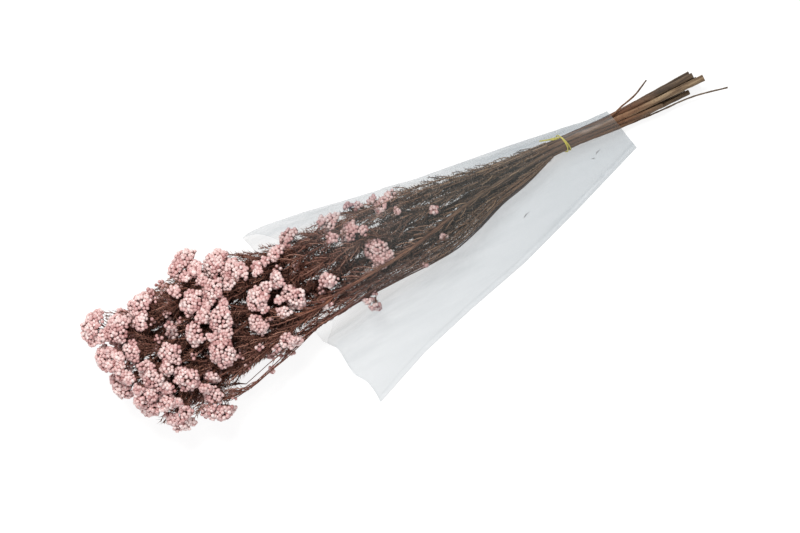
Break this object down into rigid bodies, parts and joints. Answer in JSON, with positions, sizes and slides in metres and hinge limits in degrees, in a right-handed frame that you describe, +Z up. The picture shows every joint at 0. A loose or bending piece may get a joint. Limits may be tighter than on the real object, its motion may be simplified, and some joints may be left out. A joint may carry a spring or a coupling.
{
  "type": "preserved rice flower bunch",
  "caption": "Tied bunch of pink preserved rice flower on leafy woody stems, lying in a clear tapered film sleeve open at both ends.",
  "frame": {"origin": "on the resting surface, under the middle of the whole bunch", "axes": "+X along the bunch towards the cut stem ends, +Z up from the surface it lies on, +Y towards the sleeve's full side, away from its empty flap"},
  "size_m": [0.648, 0.2154, 0.089],
  "materials": {
    "bark": "dry matte bark and dark red-brown needle leaves",
    "buds": "matte, papery dusty pink buds",
    "band_rubber": "satin yellow rubber",
    "film": "clear, slightly frosted film"
  },
  "bodies": {
    "root": {"head_01": "buds", "head_02": "buds", "head_03": "buds", "head_04": "buds", "head_05": "buds", "head_06": "buds", "head_07": "buds", "head_08": "buds", "head_09": "buds", "head_10": "buds", "head_11": "buds", "head_12": "buds", "head_13": "buds", "head_14": "buds", "head_15": "buds", "head_16": "buds", "head_17": "buds", "head_18": "buds", "head_19": "buds", "head_20": "buds", "head_21": "buds", "head_22": "buds", "head_23": "buds", "head_24": "buds", "head_25": "buds", "head_26": "buds", "head_27": "buds", "head_28": "buds", "head_29": "buds", "head_30": "buds", "head_31": "buds", "head_32": "buds", "head_33": "buds", "head_34": "buds", "head_35": "buds", "head_36": "buds", "head_37": "buds", "head_38": "buds", "head_39": "buds", "head_40": "buds", "head_41": "buds", "head_42": "buds", "head_43": "buds", "head_44": "buds", "head_45": "buds", "head_46": "buds", "stem_01": "bark", "stem_02": "bark", "stem_03": "bark", "stem_04": "bark", "stem_05": "bark", "stem_06": "bark", "stem_07": "bark", "stem_08": "bark", "stem_09": "bark", "stem_10": "bark", "band": "band_rubber", "sleeve": "film"}
  },
  "joints": []
}
